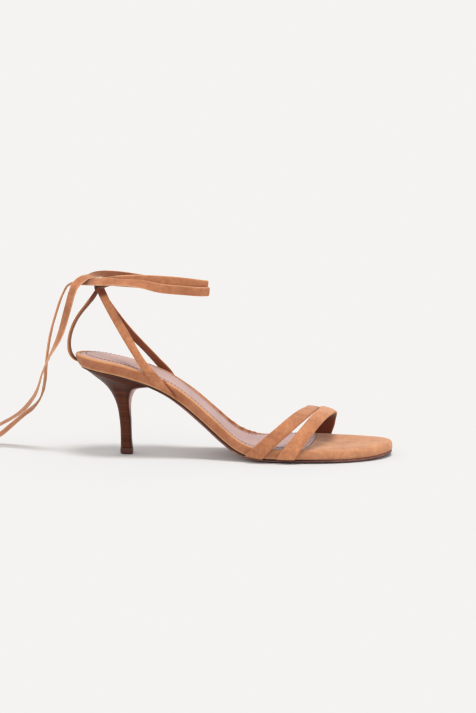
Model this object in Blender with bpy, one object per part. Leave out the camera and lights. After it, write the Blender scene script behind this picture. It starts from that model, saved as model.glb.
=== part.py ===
"""Heeled lace-up sandal for the right foot: thin outsole, suede footbed with a sock lining,
slender heel, two vamp straps, three ankle straps and a flat tie round the ankle.
Sizes are in millimetres, x from heel to toe, y towards the inner side, z up from the floor."""

import math

import bmesh
import bpy
import numpy as np

MM = 0.001

# Middle of the shoe without its free ends
ORIGIN_X = 112.753
ORIGIN_Y = -0.546

# Sole
HEEL_END_X = -2.2
TOE_END_X = 231.5
HEEL_ROUND = 26.0
TOE_ROUND = 58.0
TOE_POWER = 2.1
TOE_SWAY = 3.0
EDGE_LIFT = 0.8
SEAT_UNDERCUT = 4.5
SOLE_DEEP = 9.4
OUTSOLE_FRONT = 2.2
OUTSOLE_SEAT = 1.1
GAP = 0.3
SIDE_POINTS = 40

# Sock lining
SOCK_BORDER = 4.6
SOCK_END_X = 174.0
SOCK_ROUND = 9.0
SOCK_POWER = 3.0
SOCK_SKEW = 0.14
SOCK_THICK = 1.2
SOCK_FRONT_RISE = 1.2
POCKET_DEEP = 1.9

# Heel
TIP_TALL = 5.0
HEEL_D_SHARE = 0.52
HEEL_CORNER = 0.12

# Straps
LAST_POWER = 2.4
LAST_SWAY = 4.0
WALL_GAP = 0.5
STRAP_POWER = 2.8
STRAP_POINTS = 12
VAMP_STATIONS = 30
ANKLE_STATIONS = 22
LOOP_OUTER_X = 6.2
LOOP_OUTER_Z = 10.6
LOOP_WALL = 1.2
LOOP_WIDE = 6.0
LOOP_X = 17.3
LOOP_Z = 123.8

# Tie
TIE_WIDE = 6.8
TIE_THICK = 1.6
TIE_POINTS = 8
WRAP_STATIONS = 104
TAIL_STATIONS = 46


def table(columns, rows):
    """Named columns from rows of numbers."""
    return dict(zip(columns.split(), np.array(rows, float).T))


# Underside of the outsole along the middle
PROFILE = table("x z", [
    (-2, 65.9), (15, 63.1), (30, 60.1), (45, 56.0), (58, 51.0), (68, 45.6), (78, 38.3),
    (88, 29.7), (98, 20.7), (107, 12.6), (116, 6.0), (125, 2.0), (134, 0.3), (142, 0),
    (190, 0), (212, 0.6), (232, 2.2),
])

# Half widths of the sole before the heel and toe are rounded
PATTERN = table("x outer inner", [
    (-2, 25.5, 25.0), (26, 25.6, 25.0), (45, 26.2, 25.2), (60, 25.6, 24.4), (80, 24.8, 22.0),
    (100, 27.2, 22.4), (120, 32.2, 27.0), (140, 36.6, 32.8), (160, 38.6, 36.0),
    (182, 38.2, 36.4), (200, 37.4, 36.0), (232, 36.5, 35.5),
])

# Side of the footbed: share of its height, and how far in from the pattern
FOOTBED_SIDE = table("rise inset", [
    (0.0, 0.9), (0.12, 0.25), (0.4, 0.0), (0.64, 0.1), (0.82, 0.7), (0.94, 1.9), (1.0, 3.6),
])

# Heel by share of its height: back and front of each section, and half its width
HEEL = table("rise back front half", [
    (0.0, 32.6, 41.3, 4.6), (0.2, 32.4, 40.6, 4.6), (0.42, 31.5, 40.2, 5.0),
    (0.53, 30.3, 39.9, 5.6), (0.63, 28.2, 39.6, 6.8), (0.75, 23.9, 39.5, 9.4),
    (0.83, 19.7, 40.5, 12.0), (0.89, 15.7, 41.8, 14.9), (0.94, 11.6, 44.4, 18.4),
    (0.975, 7.6, 49.0, 21.8), (1.0, 3.6, 57.5, 24.2),
])

# Height of the last over the outsole
LAST = table("x height", [(110, 45), (120, 42), (150, 34.2), (172, 28.8), (190, 24.8), (205, 21)])

# Vamp straps by angle over the last, outer side 0 and inner side 180: rear edge and front edge
REAR_STRAP = table("angle rear front lift thick", [
    (0, 125, 135.5, 0, 2.0), (10, 132, 144.5, 0, 2.6), (32, 145.3, 157.2, 0, 2.8),
    (65, 158.6, 169.5, 0, 2.8), (90, 166.5, 175.5, 0, 2.6), (120, 173.5, 181, 0.2, 2.2),
    (150, 177.5, 185, 0.3, 1.8), (170, 178.5, 185.5, 0.4, 1.4),
])
FRONT_STRAP = table("angle rear front lift thick", [
    (0, 147.5, 158.5, 0, 2.0), (10, 152.5, 164.3, 0, 2.6), (33, 162, 173, 0, 2.8),
    (66, 171.6, 182, 0.5, 2.9), (90, 175.6, 187, 1.0, 2.9), (120, 177, 190.2, 0.8, 2.9),
    (150, 175, 189.6, 0.3, 2.7), (180, 173.6, 186, 0, 2.0),
])

# Ankle straps by their rear and front edges, from the outsole up to the loop
OUTER_STRAP = table("rear_x rear_z front_x front_z rear_y front_y thick", [
    (59.0, 53.9, 73.0, 47.3, -27.0, -26.4, 1.8), (55.6, 58.8, 68.8, 52.4, -27.2, -26.6, 2.0),
    (52.0, 64.0, 63.4, 60.0, -27.0, -26.6, 2.2), (47.4, 71.5, 54.8, 69.6, -24.2, -24.2, 2.4),
    (33.6, 92.8, 39.6, 93.4, -15.2, -15.2, 2.4), (22.4, 110.3, 27.4, 111.3, -8.4, -8.4, 2.4),
    (15.8, 118.4, 20.6, 119.4, -2.6, -2.6, 2.2),
])
INNER_STRAP = table("rear_x rear_z front_x front_z rear_y front_y thick", [
    (63.0, 51.9, 77.0, 43.4, 25.5, 23.7, 1.8), (60.6, 56.4, 73.4, 49.6, 25.8, 24.3, 2.0),
    (58.0, 60.4, 69.6, 56.2, 25.6, 24.6, 2.2), (51.2, 68.9, 59.8, 67.3, 22.8, 22.6, 2.4),
    (31.0, 92.2, 37.8, 92.9, 14.0, 14.0, 2.4), (20.0, 109.9, 25.6, 110.7, 7.6, 7.6, 2.4),
    (15.8, 118.4, 20.6, 119.4, 2.6, 2.6, 2.2),
])
BACK_STRAP_TURN = 9.0
BACK_STRAP = table("x z wide thick", [
    (0.5, 68.4, 6.6, 1.6), (-1.3, 71.0, 6.6, 2.0), (-3.3, 74.8, 6.6, 2.2),
    (-4.3, 80.8, 6.6, 2.2), (-3.7, 87.2, 6.6, 2.2), (-1.5, 93.7, 6.6, 2.2),
    (1.5, 99.6, 6.6, 2.2), (5.0, 104.8, 6.6, 2.2), (9.1, 109.9, 6.6, 2.2),
    (12.8, 114.6, 6.4, 2.2), (16.0, 119.3, 5.4, 1.8),
])

# The tie round the ankle, from the outer tail, twice round the leg, to the inner tail
WRAP = table("x y z tilt", [
    (-1.0, -11.4, 118.4, 38), (1.5, -11.2, 124.2, 40), (4.2, -9.4, 127.2, 50), (7.0, -5.4, 129.2, 66),
    (11.5, 2.0, 130.6, 72), (16.3, 9.0, 131.2, 54), (25.0, 14.0, 129.6, 16), (34, 15.6, 128.2, 4),
    (45, 15.8, 126.5, 0), (60, 13.2, 125.3, 0), (80, 7.0, 124.7, 0), (91.0, 2.7, 124.2, 0),
    (95.2, 0, 123.9, 0), (91.0, -2.6, 124.8, 0), (81.6, -5.8, 126.5, 0), (67, -9.4, 128.2, 0),
    (49, -12.2, 129.2, 0), (34, -12.0, 128.6, 0), (24, -9.2, 127.0, 0), (18.6, -5.0, 124.8, 0),
    (17.0, 0, 123.8, 0), (18.4, 5.2, 123.8, 12), (22.6, 11.8, 123.8, 54), (29, 17.8, 122.8, 34),
    (40, 20.2, 122.0, 8), (60, 17.0, 120.9, 0), (80, 9.9, 119.8, 0), (92.2, 4.8, 119.3, 0),
    (97.8, 0, 119.2, 0), (92.4, -4.9, 119.5, 0), (79, -9.4, 120.9, 0), (63, -13.8, 122.9, -8),
    (48, -16.8, 126.0, -38), (34, -17.6, 126.8, -52), (24, -15.0, 127.4, -46), (16.3, -9.8, 126.9, -45),
    (10.5, -3.8, 125.6, -58), (5.0, 2.2, 125.0, -70), (-0.2, 6.4, 124.2, -78),
])

# The two free ends: middle line from the wrap to the cut end, and how far each has turned flat
OUTER_TAIL = table("x y z flat", [
    (-1.16, -11.41, 118.0, 0), (-4.2, -11, 107, 0.2), (-10.2, -8, 88.1, 0.4), (-19.6, 0, 70.1, 0.6),
    (-24.6, 4, 59.9, 0.9), (-30.0, 7, 44.5, 1), (-35.0, 10, 36.6, 1), (-45.1, 16, 23.7, 1),
    (-55, 22, 12.9, 1), (-64, 26, 6.6, 1), (-74, 29, 2.6, 1), (-88, 31, 1.2, 1), (-115, 34, 1.2, 1),
    (-150, 36, 1.2, 1),
])
INNER_TAIL = table("x y z flat", [
    (-0.9, 6.95, 124.06, 0), (-3.5, 8.6, 123.8, 0), (-6.4, 9.6, 122.2, 0), (-9.0, 10, 117.8, 0),
    (-12.0, 10, 111.2, 0), (-14.2, 10, 104.6, 0), (-19.4, 9.6, 86.2, 0), (-22.6, 10, 66.0, 0),
    (-25.2, 13, 43.6, 0.05), (-30.4, 16, 34.6, 0.2), (-40.4, 21, 26.0, 0.5), (-50.2, 26, 21.6, 0.75),
    (-60.2, 32, 15.8, 0.9), (-72, 40, 9.4, 1), (-86, 49, 3.6, 1), (-100, 57, 1.2, 1),
    (-122, 67, 1.2, 1), (-152, 78, 1.2, 1),
])


def slopes(x, y):
    """Slopes of a curve through the rows that never overshoots them."""
    run = np.diff(x)
    rate = np.diff(y) / run
    inner = np.zeros(len(x))
    inner[0] = rate[0]
    inner[-1] = rate[-1]
    same = rate[:-1] * rate[1:] > 0
    ahead = 2 * run[1:] + run[:-1]
    behind = run[1:] + 2 * run[:-1]
    safe_a = np.where(same, rate[:-1], 1)
    safe_b = np.where(same, rate[1:], 1)
    inner[1:-1] = np.where(same, (ahead + behind) / (ahead / safe_a + behind / safe_b), 0)
    return inner


def hermite(x, y, slope, at):
    """Cubic through the rows with the slopes given, at any places."""
    at = np.clip(at, x[0], x[-1])
    k = np.clip(np.searchsorted(x, at) - 1, 0, len(x) - 2)
    run = x[k + 1] - x[k]
    t = (at - x[k]) / run
    grow = ((1 + 2 * t) * (1 - t) ** 2, t * (1 - t) ** 2, t * t * (3 - 2 * t), t * t * (t - 1))
    if y.ndim > 1:
        grow = [g[:, None] for g in grow]
        run = run[:, None]
    return grow[0] * y[k] + grow[1] * run * slope[k] + grow[2] * y[k + 1] + grow[3] * run * slope[k + 1]


def along(rows, column, at):
    """A column of a table by x, smoothly between its rows."""
    first = next(iter(rows))
    return hermite(rows[first], rows[column], slopes(rows[first], rows[column]), np.asarray(at, float))


def through(points, count):
    """Evenly spaced places on a smooth curve through rows of points."""
    step = np.linalg.norm(np.diff(points[:, :3], axis=0), axis=1)
    length = np.concatenate([[0], np.cumsum(step)])
    slope = np.gradient(points, length, axis=0)
    return hermite(length, points, slope, np.linspace(0, length[-1], count))


def unit(vectors):
    return vectors / np.linalg.norm(vectors, axis=-1, keepdims=True)


def half_width(x, side):
    return along(PATTERN, "outer" if side < 0 else "inner", x)


def sway(x):
    """The toe turns towards the inner side."""
    return TOE_SWAY * np.clip((np.asarray(x) - 120) / (TOE_END_X - 120), 0, 1) ** 2


def bed(x, y, deep):
    """A place at depth deep above the underside of the sole, square to its profile."""
    x = np.asarray(x, float)
    z = along(PROFILE, "z", x)
    rate = (along(PROFILE, "z", x + 0.5) - along(PROFILE, "z", x - 0.5)) / 1.0
    size = np.sqrt(1 + rate * rate)
    half = np.where(y < 0, half_width(x, -1), half_width(x, 1))
    lift = EDGE_LIFT * np.clip((np.abs(y) / half - 0.62) / 0.38, 0, 1.2) ** 2 * np.clip((x - 85) / 40, 0, 1)
    rise = deep + lift
    return np.stack([x - rise * rate / size, y + 0 * x, z + rise / size], -1)


def outline(inset=0.0, end=TOE_END_X, end_round=TOE_ROUND, end_power=TOE_POWER, skew=0.0):
    """The sole's pattern as a loop, outer side from heel to toe and back along the inner side."""
    turn = np.linspace(0, math.pi, SIDE_POINTS)
    x = HEEL_END_X + (end - HEEL_END_X) * (1 - np.cos(turn)) / 2
    heel = np.sqrt(1 - np.clip(1 - (x - HEEL_END_X) / HEEL_ROUND, 0, 1) ** 2)
    toe = (1 - np.clip(1 - (end - x) / end_round, 0, 1) ** end_power) ** (1 / end_power)
    outer = sway(x) - half_width(x, -1) * heel * toe
    inner = sway(x) + half_width(x, 1) * heel * toe
    x = np.concatenate([x, x[-2:0:-1]])
    y = np.concatenate([outer, inner[-2:0:-1]])
    x = x + skew * y * np.clip((x - 60) / (end - 60), 0, 1) ** 3
    loop = np.stack([x, y], -1)
    out = outward(loop)
    return loop - inset * out, out


def outward(loop):
    """Outward directions of a loop that runs anticlockwise seen from above."""
    along_loop = unit(np.roll(loop, -1, axis=0) - np.roll(loop, 1, axis=0))
    return np.stack([along_loop[:, 1], -along_loop[:, 0]], -1)


def sole_ring(inset, deep, undercut=0.0, **shape):
    """One loop of the sole at a depth, pulled in behind the heel by the undercut."""
    loop, out = outline(0.0, **shape)
    pull = inset + undercut * np.clip(-out[:, 0], 0, 1) ** 2
    loop = loop - pull[:, None] * out
    return bed(loop[:, 0], loop[:, 1], deep(loop[:, 0]) if callable(deep) else deep)


def outsole_thick(x):
    return OUTSOLE_SEAT + (OUTSOLE_FRONT - OUTSOLE_SEAT) * np.clip((np.asarray(x) - 45) / 40, 0, 1)


def ringed(rings):
    """Faces of a closed body from loops, bottom first, with strips across both ends."""
    count = len(rings[0])
    points = np.concatenate(rings)
    faces = []
    for level in range(len(rings) - 1):
        base = level * count
        for i in range(count):
            j = (i + 1) % count
            faces.append((base + i, base + j, base + count + j, base + count + i))
    for base, flip in ((0, True), ((len(rings) - 1) * count, False)):
        for i in range(count // 2):
            a, b = base + i, base + i + 1
            c, d = base + (count - i - 1) % count, base + (count - i) % count
            strip = [a, b, c, d]
            strip = [p for k, p in enumerate(strip) if p not in strip[:k]]
            faces.append(tuple(strip[::-1] if flip else strip))
    return points, faces


def lofted(sections):
    """Faces of a closed body from sections along a path, with flat ends."""
    stations, count = sections.shape[:2]
    points = sections.reshape(-1, 3)
    faces = []
    for s in range(stations - 1):
        for i in range(count):
            j = (i + 1) % count
            faces.append((s * count + i, s * count + j, (s + 1) * count + j, (s + 1) * count + i))
    faces.append(tuple(range(count))[::-1])
    faces.append(tuple(range((stations - 1) * count, stations * count)))
    return points, faces


def strap(middle, across, thick, count=STRAP_POINTS):
    """A soft strap with rounded edges: its middle line, its width as vectors, and its thickness."""
    run = np.gradient(middle, axis=0)
    face = unit(np.cross(run, across))
    turn = np.linspace(0, 2 * math.pi, count, endpoint=False) + math.pi / count
    wide = np.sign(np.cos(turn)) * np.abs(np.cos(turn)) ** (2 / STRAP_POWER) / 2
    deep = np.sign(np.sin(turn)) * np.abs(np.sin(turn)) ** (2 / STRAP_POWER) / 2
    return lofted(
        middle[:, None] + wide[None, :, None] * across[:, None]
        + deep[None, :, None] * (face * np.asarray(thick)[:, None])[:, None]
    )


def last_place(x, angle):
    """The surface that the vamp straps lie on, by x and by angle from the outer side."""
    turn = np.radians(angle)
    side = np.sign(np.cos(turn)) * np.abs(np.cos(turn)) ** (2 / LAST_POWER)
    rise = np.clip(np.sin(turn), 0, 1) ** (2 / LAST_POWER)
    toe = (1 - np.clip(1 - (TOE_END_X - x) / TOE_ROUND, 0, 1) ** TOE_POWER) ** (1 / TOE_POWER)
    half = np.where(side > 0, half_width(x, -1), half_width(x, 1)) * toe + WALL_GAP
    base = bed(x, sway(x) - half * np.sign(side), outsole_thick(x) + GAP)
    y = sway(x) - half * side + LAST_SWAY * rise ** 2
    return np.stack([x, y, base[:, 2] + along(LAST, "height", x) * rise], -1)


def vamp_strap(rows):
    """A strap over the last, worked out from its edges at each angle."""
    angle = np.linspace(rows["angle"][0], rows["angle"][-1], VAMP_STATIONS)
    rear, front, lift, thick = (along(rows, c, angle) for c in ("rear", "front", "lift", "thick"))
    x = (rear + front) / 2
    middle = last_place(x, angle)
    across = last_place(front, angle) - last_place(rear, angle)
    over = last_place(x, np.clip(angle + 1, 0, 180)) - last_place(x, np.clip(angle - 1, 0, 180))
    face = unit(np.cross(across, over))
    return strap(middle + face * (lift + thick / 2)[:, None], across, thick)


def edge_strap(rows):
    """A strap between a rear edge and a front edge."""
    rear = np.stack([rows["rear_x"], rows["rear_y"], rows["rear_z"]], -1)
    front = np.stack([rows["front_x"], rows["front_y"], rows["front_z"]], -1)
    middle = (rear + front) / 2
    even = through(np.concatenate([middle, front - rear, rows["thick"][:, None]], 1), ANKLE_STATIONS)
    return strap(even[:, :3], even[:, 3:6], even[:, 6])


def back_strap():
    rows = BACK_STRAP
    middle = np.stack([rows["x"], 0 * rows["x"], rows["z"], rows["wide"], rows["thick"]], -1)
    even = through(middle, ANKLE_STATIONS)
    turn = math.radians(BACK_STRAP_TURN)
    across = even[:, 3:4] * np.array([math.sin(turn), math.cos(turn), 0.0])
    return strap(even[:, :3], across, even[:, 4])


def tie_loop():
    """The loop behind the ankle that the tie goes through, a flat ring on its edge."""
    turn = np.linspace(0, 2 * math.pi, 20, endpoint=False)
    ring = []
    for x_size, z_size in ((LOOP_OUTER_X, LOOP_OUTER_Z),
                           (LOOP_OUTER_X - 2 * LOOP_WALL, LOOP_OUTER_Z - 2 * LOOP_WALL)):
        x = LOOP_X + x_size / 2 * np.sign(np.cos(turn)) * np.abs(np.cos(turn)) ** 0.7
        z = LOOP_Z + z_size / 2 * np.sign(np.sin(turn)) * np.abs(np.sin(turn)) ** 0.7
        ring.append((x, z))
    points = []
    for x, z in (ring[0], ring[0], ring[1], ring[1]):
        y = LOOP_WIDE / 2 * (-1 if len(points) in (0, 3) else 1)
        points.append(np.stack([x, y + 0 * x, z], -1))
    count = len(turn)
    faces = []
    for level in range(4):
        for i in range(count):
            j = (i + 1) % count
            low, high = level * count, (level + 1) % 4 * count
            faces.append((low + i, low + j, high + j, high + i))
    return np.concatenate(points), faces


def tie_wrap():
    rows = WRAP
    even = through(np.stack([rows["x"], rows["y"], rows["z"], rows["tilt"]], -1), WRAP_STATIONS)
    middle = even[:, :3]
    run = unit(np.gradient(middle, axis=0))
    up = np.array([0.0, 0.0, 1.0]) - run[:, 2:3] * run
    up = unit(up)
    flat = np.cross(up, run)
    tilt = np.radians(even[:, 3:4])
    across = TIE_WIDE * (np.cos(tilt) * up + np.sin(tilt) * flat)
    return strap(middle, across, np.full(len(middle), TIE_THICK), TIE_POINTS)


def tie_tail(rows, hang):
    """A free end: hang is its width direction where it leaves the wrap, and it ends flat."""
    even = through(np.stack([rows["x"], rows["y"], rows["z"], rows["flat"]], -1), TAIL_STATIONS)
    middle = even[:, :3]
    run = unit(np.gradient(middle, axis=0))
    level = unit(np.cross(run, (0.0, 0.0, 1.0)))
    share = np.clip(even[:, 3:4], 0, 1)
    hint = (1 - share) * np.array(hang) + share * level
    across = TIE_WIDE * unit(hint - np.sum(hint * run, 1, keepdims=True) * run)
    return strap(middle, across, np.full(len(middle), TIE_THICK), TIE_POINTS)


def footbed_top(x):
    return SOLE_DEEP + 0 * np.asarray(x)


def footbed():
    """Board in a suede cover: a rounded side, a rolled border and a soft crown."""
    rings = []
    for rise, inset in zip(FOOTBED_SIDE["rise"], FOOTBED_SIDE["inset"]):
        def deep(x, rise=rise):
            low = outsole_thick(x) + GAP
            return low + rise * (footbed_top(x) - low)
        rings.append(sole_ring(inset, deep, SEAT_UNDERCUT * (1 - rise)))
    for inset, crown in ((9.0, 0.5), (16.0, 0.7)):
        rings.append(sole_ring(inset, lambda x, crown=crown: footbed_top(x) + crown))
    return ringed(rings)


def sock_shape():
    return dict(end=SOCK_END_X, end_round=SOCK_ROUND, end_power=SOCK_POWER, skew=SOCK_SKEW)


def pocket():
    """The place that the sock lining is let into."""
    rings = [
        sole_ring(SOCK_BORDER - GAP, SOLE_DEEP - POCKET_DEEP, **sock_shape()),
        sole_ring(SOCK_BORDER - GAP, SOLE_DEEP + 4.0, **sock_shape()),
    ]
    return ringed(rings)


def sock_crown(x):
    """The padding of the sock lining, fullest under the heel."""
    return 0.5 + 1.9 * np.clip(1 - (np.asarray(x) - 20) / 60, 0, 1) ** 1.5


def sock_edge(x):
    """The top of the cut edge: let in at the seat, standing up at the front."""
    rise = SOCK_FRONT_RISE * np.clip((np.asarray(x) - 105) / 45, 0, 1)
    return SOLE_DEEP - POCKET_DEEP + GAP + SOCK_THICK + rise


def sock_ring(inset, deep):
    """A loop of the sock lining, drawn in towards the middle line by an even share."""
    loop = outline(SOCK_BORDER, **sock_shape())[0]
    low = loop.min(axis=0)
    high = loop.max(axis=0)
    middle = (low + high) / 2
    loop = middle + (loop - middle) * (1 - 2 * inset / (high - low))
    return bed(loop[:, 0], loop[:, 1], deep(loop[:, 0]))


def sock_lining():
    rings = [
        sole_ring(SOCK_BORDER, SOLE_DEEP - POCKET_DEEP + GAP, **sock_shape()),
        sole_ring(SOCK_BORDER, sock_edge, **sock_shape()),
        sock_ring(4.0, lambda x: sock_edge(x) + 0.55 * sock_crown(x)),
        sock_ring(10.0, lambda x: sock_edge(x) + sock_crown(x)),
    ]
    return ringed(rings)


def outsole():
    rings = [
        sole_ring(15.0, 0.0),
        sole_ring(7.0, 0.0, SEAT_UNDERCUT),
        sole_ring(1.2, 0.0, SEAT_UNDERCUT + 0.4),
        sole_ring(0.6, lambda x: 0.45 * outsole_thick(x), SEAT_UNDERCUT + 0.2),
        sole_ring(0.6, outsole_thick, SEAT_UNDERCUT),
    ]
    return ringed(rings)


def heel_section(back, front, half):
    """A heel section: rounded behind, straight at the sides, flat in front with soft corners."""
    share = (1 - np.cos(np.linspace(0, math.pi, 17))) / 2
    round_back = np.sqrt(1 - np.clip(1 - share / HEEL_D_SHARE, 0, 1) ** 2)
    corner = (1 - np.clip(1 - (1 - share) / HEEL_CORNER, 0, 1) ** 2.5) ** 0.4
    side = half * round_back * np.maximum(corner, 0.55)
    x = back + (front - back) * share
    x = np.concatenate([x, x[:0:-1]])
    y = np.concatenate([-side, side[:0:-1]])
    return x, y


def heel():
    top_x, top_y = heel_section(*(HEEL[c][-1] for c in ("back", "front", "half")))
    seat = bed(top_x, top_y, -GAP)
    rings = []
    levels = np.concatenate([np.linspace(0, 0.4, 5), np.linspace(0.48, 0.88, 8), (0.92, 0.955, 0.98, 1.0)])
    for rise in levels:
        x, y = heel_section(*(along(HEEL, c, rise) for c in ("back", "front", "half")))
        z = TIP_TALL + rise * (seat[:, 2] - TIP_TALL)
        shift = rise ** 12 * (seat[:, 0] - top_x)
        rings.append(np.stack([x + shift, y, z], -1))
    return ringed(rings)


def heel_tip():
    rings = []
    for z, grow in ((0.0, 0.1), (0.5, 0.35), (TIP_TALL - GAP, 0.3)):
        x, y = heel_section(HEEL["back"][0] - grow, HEEL["front"][0] + grow, HEEL["half"][0] + grow)
        rings.append(np.stack([x, y, z + 0 * x], -1))
    return ringed(rings)


def material(name, colour, roughness):
    made = bpy.data.materials.new(name)
    made.use_nodes = True
    shader = made.node_tree.nodes["Principled BSDF"]
    shader.inputs["Base Color"].default_value = (*colour, 1.0)
    shader.inputs["Roughness"].default_value = roughness
    shader.inputs["Metallic"].default_value = 0.0
    return made


def solid(name, shape, look, parent):
    """One closed mesh object with its material."""
    points, faces = shape
    mesh = bpy.data.meshes.new(name)
    work = bmesh.new()
    corners = [work.verts.new(p) for p in points]
    for face in faces:
        work.faces.new([corners[i] for i in face])
    bmesh.ops.remove_doubles(work, verts=work.verts, dist=0.002)
    bmesh.ops.triangulate(work, faces=work.faces)
    bmesh.ops.recalc_face_normals(work, faces=work.faces)
    work.to_mesh(mesh)
    work.free()
    made = bpy.data.objects.new(name, mesh)
    made.data.materials.append(look)
    made.parent = parent
    bpy.context.scene.collection.objects.link(made)
    return made


def combine(target, other, operation):
    """A live Boolean with a helper that doesn't show."""
    cut = target.modifiers.new(operation.title() + other.name, "BOOLEAN")
    cut.operation = operation
    cut.solver = "EXACT"
    cut.object = other
    other.hide_render = True
    other.display_type = "WIRE"


def main():
    for old in list(bpy.data.objects):
        bpy.data.objects.remove(old)
    root = bpy.data.objects.new("sandal", None)
    bpy.context.scene.collection.objects.link(root)
    suede = material("tan_suede", (0.62, 0.32, 0.17), 0.9)
    strap_suede = material("tan_suede_strap", (0.6, 0.3, 0.16), 0.9)
    ankle_suede = material("tan_suede_ankle", (0.6, 0.3, 0.16), 0.9)
    tie_suede = material("tan_suede_tie", (0.6, 0.3, 0.16), 0.9)
    lining = material("sock_leather", (0.6, 0.45, 0.43), 0.6)
    leather = material("outsole_leather", (0.2, 0.1, 0.08), 0.6)
    stacked = material("stacked_leather", (0.12, 0.06, 0.04), 0.45)
    rubber = material("tip_rubber", (0.06, 0.035, 0.025), 0.6)

    solid("outsole", outsole(), leather, root)
    bed_solid = solid("footbed", footbed(), suede, root)
    combine(bed_solid, solid("pocket_cutter", pocket(), suede, root), "DIFFERENCE")
    solid("sock_lining", sock_lining(), lining, root)
    solid("heel", heel(), stacked, root)
    solid("heel_tip", heel_tip(), rubber, root)
    vamp = solid("vamp_straps", vamp_strap(FRONT_STRAP), strap_suede, root)
    combine(vamp, solid("rear_strap_form", vamp_strap(REAR_STRAP), strap_suede, root), "UNION")
    ankle = solid("ankle_straps", tie_loop(), ankle_suede, root)
    for name, shape in (("outer_strap_form", edge_strap(OUTER_STRAP)),
                        ("inner_strap_form", edge_strap(INNER_STRAP)),
                        ("back_strap_form", back_strap())):
        combine(ankle, solid(name, shape, ankle_suede, root), "UNION")
    solid("tie_wrap", tie_wrap(), tie_suede, root)
    solid("tie_tail_outer", tie_tail(OUTER_TAIL, (-0.77, 0.56, 0.31)), tie_suede, root)
    solid("tie_tail_inner", tie_tail(INNER_TAIL, (0.12, 1.0, 0.14)), tie_suede, root)
    root.scale = (MM, MM, MM)
    root.location = (-ORIGIN_X * MM, -ORIGIN_Y * MM, 0)


main()
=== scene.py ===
import math
from functools import partial

import bmesh
import bpy
import numpy as np
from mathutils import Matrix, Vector


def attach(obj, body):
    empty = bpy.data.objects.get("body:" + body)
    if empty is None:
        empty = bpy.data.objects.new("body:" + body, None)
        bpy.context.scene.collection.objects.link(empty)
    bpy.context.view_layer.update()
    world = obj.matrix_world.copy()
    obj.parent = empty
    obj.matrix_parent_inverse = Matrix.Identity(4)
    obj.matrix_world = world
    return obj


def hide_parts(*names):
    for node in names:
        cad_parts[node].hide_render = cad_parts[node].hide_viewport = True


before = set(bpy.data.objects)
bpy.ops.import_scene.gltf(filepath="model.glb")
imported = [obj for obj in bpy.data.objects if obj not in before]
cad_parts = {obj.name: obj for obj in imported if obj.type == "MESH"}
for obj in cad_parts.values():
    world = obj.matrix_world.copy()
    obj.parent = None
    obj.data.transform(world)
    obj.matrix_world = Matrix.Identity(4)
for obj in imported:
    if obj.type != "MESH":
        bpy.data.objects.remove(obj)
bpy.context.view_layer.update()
print("frame:", len(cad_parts), "solids loaded")

# Shapes are worked out in millimetres from the heel, x to the toe, y to the inner side, z up.
shoeMiddle = np.array([112.753, -0.546, 0.0])
toMetres = 0.001
weldDistance = 2e-6


def columns(names, rows):
    return dict(zip(names.split(), np.array(rows, float).T))


def stacked(rows, names):
    return np.stack([rows[name] for name in names.split()], -1)


# slopes of a curve through rows that never overshoots them: harmonic mean of the two neighbours' rates
def slopes(x, y):
    run = np.diff(x)
    rate = np.diff(y) / run
    same = rate[:-1] * rate[1:] > 0
    ahead = 2 * run[1:] + run[:-1]
    behind = run[1:] + 2 * run[:-1]
    first = np.where(same, rate[:-1], 1)
    second = np.where(same, rate[1:], 1)
    middle = np.where(same, (ahead + behind) / (ahead / first + behind / second), 0)
    return np.concatenate([rate[:1], middle, rate[-1:]])


# cubic between rows that leaves and meets them at the slopes given
def hermite(x, y, slope, at):
    at = np.clip(at, x[0], x[-1])
    k = np.clip(np.searchsorted(x, at) - 1, 0, len(x) - 2)
    run = x[k + 1] - x[k]
    t = (at - x[k]) / run
    share = ((1 + 2 * t) * (1 - t) ** 2, t * (1 - t) ** 2, t * t * (3 - 2 * t), t * t * (t - 1))
    if y.ndim > 1:
        share = [s[:, None] for s in share]
        run = run[:, None]
    return share[0] * y[k] + share[1] * run * slope[k] + share[2] * y[k + 1] + share[3] * run * slope[k + 1]


def along(rows, column, at):
    x = rows[next(iter(rows))]
    at = np.asarray(at, float)
    return hermite(x, rows[column], slopes(x, rows[column]), at.ravel()).reshape(at.shape)


# length of the way from the first point to each point
def lengths(points):
    return np.concatenate([[0], np.cumsum(np.linalg.norm(np.diff(points, axis=0), axis=1))])


# evenly spaced places on a smooth curve through rows of points
def through(points, count):
    length = lengths(points[:, :3])
    return hermite(length, points, np.gradient(points, length, axis=0), np.linspace(0, length[-1], count))


def unit(vectors):
    return vectors / np.linalg.norm(vectors, axis=-1, keepdims=True)


# a soft step up from low to high, and the same step down
def ease(value, low, high):
    t = np.clip((np.asarray(value, float) - low) / (high - low), 0, 1)
    return t * t * (3 - 2 * t)


def fade(value, low, high):
    return ease(-np.asarray(value, float), -high, -low)


# a soft trough or ridge: a bell of the given half width round a place
def bell(value, place, wide):
    return np.exp(-((np.asarray(value, float) - place) / wide) ** 2)


# a superellipse's coordinate: a sine or cosine raised to a power, with its sign kept
def signedPower(wave, power):
    return np.sign(wave) * np.abs(wave) ** power


# how full a form still is near its end: a superellipse over the last stretch, 1 before it
def bluntEnd(toEnd, stretch, power):
    return (1 - np.clip(1 - toEnd / stretch, 0, 1) ** power) ** (1 / power)


def circle(count):
    return np.linspace(0, 2 * math.pi, count, endpoint=False)


# every cell of a grid as four corners; the second direction closes on itself
def ringQuads(rings, count):
    ring, spot = np.meshgrid(np.arange(rings - 1), np.arange(count), indexing="ij")
    after = (spot + 1) % count
    return np.stack([ring * count + spot, ring * count + after,
                     (ring + 1) * count + after, (ring + 1) * count + spot], -1).reshape(-1, 4)


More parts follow.
